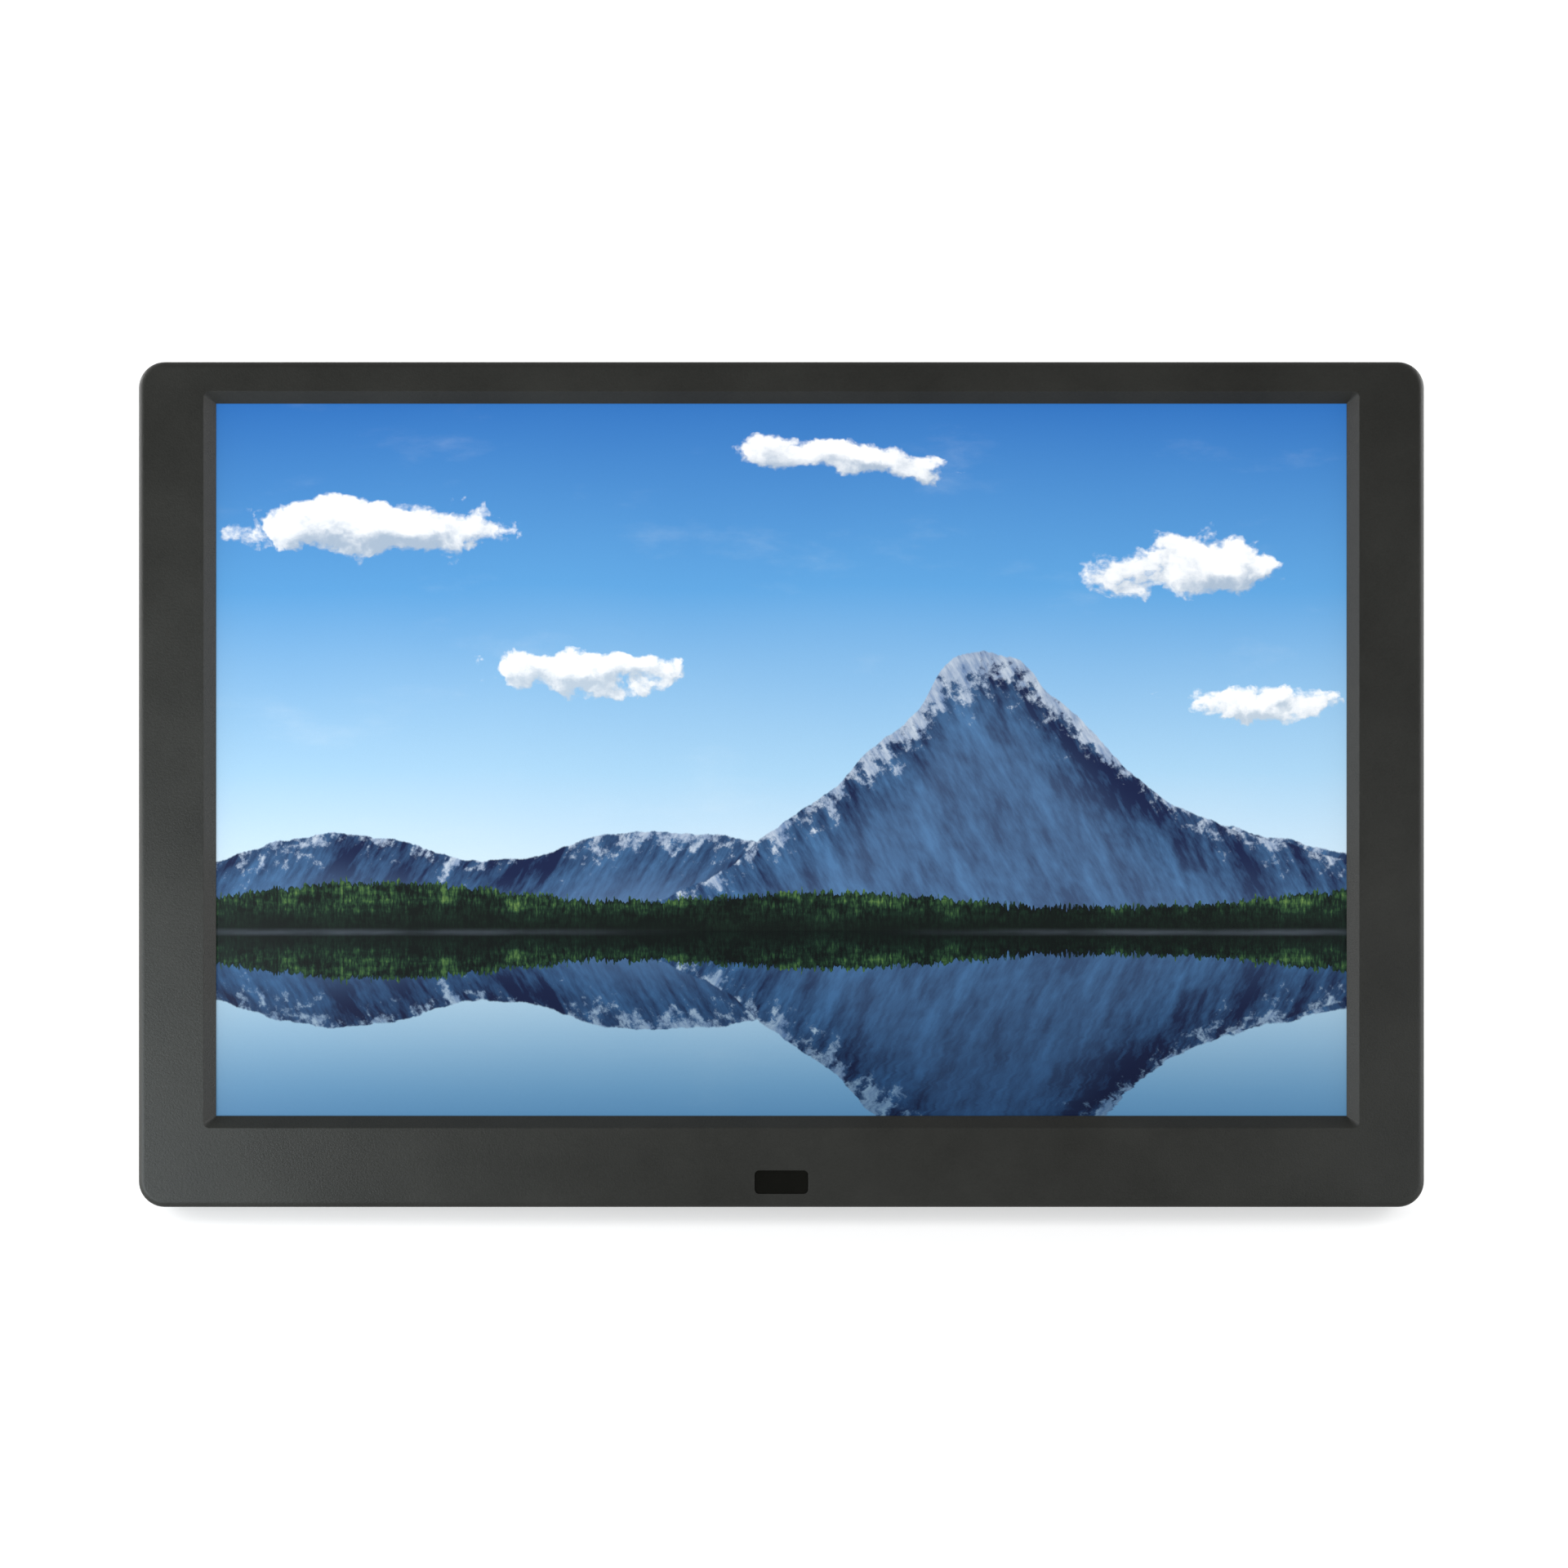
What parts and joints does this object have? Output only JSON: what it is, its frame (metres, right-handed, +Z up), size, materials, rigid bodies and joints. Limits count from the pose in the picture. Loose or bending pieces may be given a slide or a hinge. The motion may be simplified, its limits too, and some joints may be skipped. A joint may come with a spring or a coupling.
{
  "type": "digital photo frame",
  "caption": "Landscape digital photo frame with a flat bezel, a lit display, a raised back with sockets and sprung buttons, and a hinged kickstand it leans on.",
  "frame": {"origin": "on the table, under the centre of the whole frame's box while it stands on its opened stand", "axes": "+X to the right of a person facing the picture, +Y away from that person, +Z up"},
  "size_m": [0.2464, 0.0842, 0.1556],
  "materials": {
    "bezel_plastic": "fine-grained matte charcoal",
    "cover_plastic": "moulded grain, matte black",
    "stand_plastic": "moulded grain, matte black",
    "button_plastic": "satin black with raised symbols",
    "smoked_acrylic": "polished dark infrared-passing acrylic",
    "sensor_resin": "moulded dark epoxy",
    "gasket_foam": "soft closed-cell foam",
    "picture_film": "lit picture behind a satin anti-glare film",
    "panel_glass": "dark bonded glass",
    "prism_film": "fine ridged film",
    "diffuser_film": "milky film",
    "clear_acrylic": "clear, dotted on its back",
    "reflector_film": "bright white film",
    "led_package": "yellow phosphor in white packages",
    "tray_steel": "plated sheet",
    "screw_steel": "zinc plated",
    "black_screw_steel": "black oxide",
    "flex_circuit": "amber flexible circuit",
    "flat_lead": "white flat lead",
    "circuit_board": "green solder mask",
    "chip_resin": "moulded black resin",
    "can_aluminium": "drawn can",
    "socket_steel": "folded plated sheet",
    "jack_plastic": "moulded black",
    "speaker_plastic": "moulded black",
    "magnet_steel": "plated cup",
    "grille_steel": "perforated sheet, satin black paint",
    "cone_paper": "pressed black cone",
    "wire_jacket": "soft insulation",
    "hanger_steel": "stamped zinc plated",
    "pin_steel": "ground pin",
    "washer_nylon": "natural nylon",
    "foot_rubber": "soft matte rubber"
  },
  "bodies": {
    "case": {"front_bezel": "bezel_plastic", "back_cover": "cover_plastic", "ir_window": "smoked_acrylic", "ir_receiver": "sensor_resin", "lcd_gasket": "gasket_foam", "display_surface": "picture_film", "lcd_cell": "panel_glass", "prism_sheet": "prism_film", "diffuser_sheet": "diffuser_film", "light_guide": "clear_acrylic", "reflector_sheet": "reflector_film", "led_strip": "led_package", "lcd_tray": "tray_steel", "lcd_brackets": "tray_steel", "bracket_screws": "screw_steel", "board_screws": "screw_steel", "key_board_screws": "screw_steel", "hanger_screws": "screw_steel", "case_screws": "black_screw_steel", "lcd_ribbon": "flex_circuit", "sensor_lead": "flat_lead", "key_ribbon": "flat_lead", "main_board": "circuit_board", "key_board": "circuit_board", "sensor_board": "circuit_board", "board_chips": "chip_resin", "tact_switches": "chip_resin", "shield_can": "can_aluminium", "board_capacitors": "can_aluminium", "usb_port": "socket_steel", "micro_usb_port": "socket_steel", "sd_slot": "socket_steel", "headphone_jack": "jack_plastic", "dc_jack": "jack_plastic", "speaker_basket_left": "speaker_plastic", "speaker_basket_right": "speaker_plastic", "speaker_magnet_left": "magnet_steel", "speaker_magnet_right": "magnet_steel", "speaker_grille_left": "grille_steel", "speaker_grille_right": "grille_steel", "speaker_cone_left": "cone_paper", "speaker_cone_right": "cone_paper", "speaker_leads": "wire_jacket", "hanger_left": "hanger_steel", "hanger_right": "hanger_steel", "stand_pin_left": "pin_steel", "stand_pin_right": "pin_steel", "stand_washer_left": "washer_nylon", "stand_washer_right": "washer_nylon", "foot_left": "foot_rubber", "foot_right": "foot_rubber"},
    "stand": {"stand_leg": "stand_plastic", "stand_foot_pad": "foot_rubber"},
    "button_power": {"button_power": "button_plastic"},
    "button_menu": {"button_menu": "button_plastic"},
    "button_exit": {"button_exit": "button_plastic"},
    "button_left": {"button_left": "button_plastic"},
    "button_up": {"button_up": "button_plastic"},
    "button_down": {"button_down": "button_plastic"},
    "button_right": {"button_right": "button_plastic"}
  },
  "joints": [
    {"name": "stand_hinge", "type": "hinge", "parent": "case", "child": "stand", "pos_m": [0, 0.00863, 0.08269], "axis": [1, 0, 0], "range_deg": [-40, 0]},
    {"name": "press_power", "type": "slide", "parent": "case", "child": "button_power", "axis": [0, -0.9397, 0.342], "range_m": [0, 0.0005], "stiffness_N_per_m": 600, "springref_m": -0.0006},
    {"name": "press_menu", "type": "slide", "parent": "case", "child": "button_menu", "axis": [0, -0.9397, 0.342], "range_m": [0, 0.0005], "stiffness_N_per_m": 600, "springref_m": -0.0006},
    {"name": "press_exit", "type": "slide", "parent": "case", "child": "button_exit", "axis": [0, -0.9397, 0.342], "range_m": [0, 0.0005], "stiffness_N_per_m": 600, "springref_m": -0.0006},
    {"name": "press_left", "type": "slide", "parent": "case", "child": "button_left", "axis": [0, -0.9397, 0.342], "range_m": [0, 0.0005], "stiffness_N_per_m": 600, "springref_m": -0.0006},
    {"name": "press_up", "type": "slide", "parent": "case", "child": "button_up", "axis": [0, -0.9397, 0.342], "range_m": [0, 0.0005], "stiffness_N_per_m": 600, "springref_m": -0.0006},
    {"name": "press_down", "type": "slide", "parent": "case", "child": "button_down", "axis": [0, -0.9397, 0.342], "range_m": [0, 0.0005], "stiffness_N_per_m": 600, "springref_m": -0.0006},
    {"name": "press_right", "type": "slide", "parent": "case", "child": "button_right", "axis": [0, -0.9397, 0.342], "range_m": [0, 0.0005], "stiffness_N_per_m": 600, "springref_m": -0.0006}
  ]
}
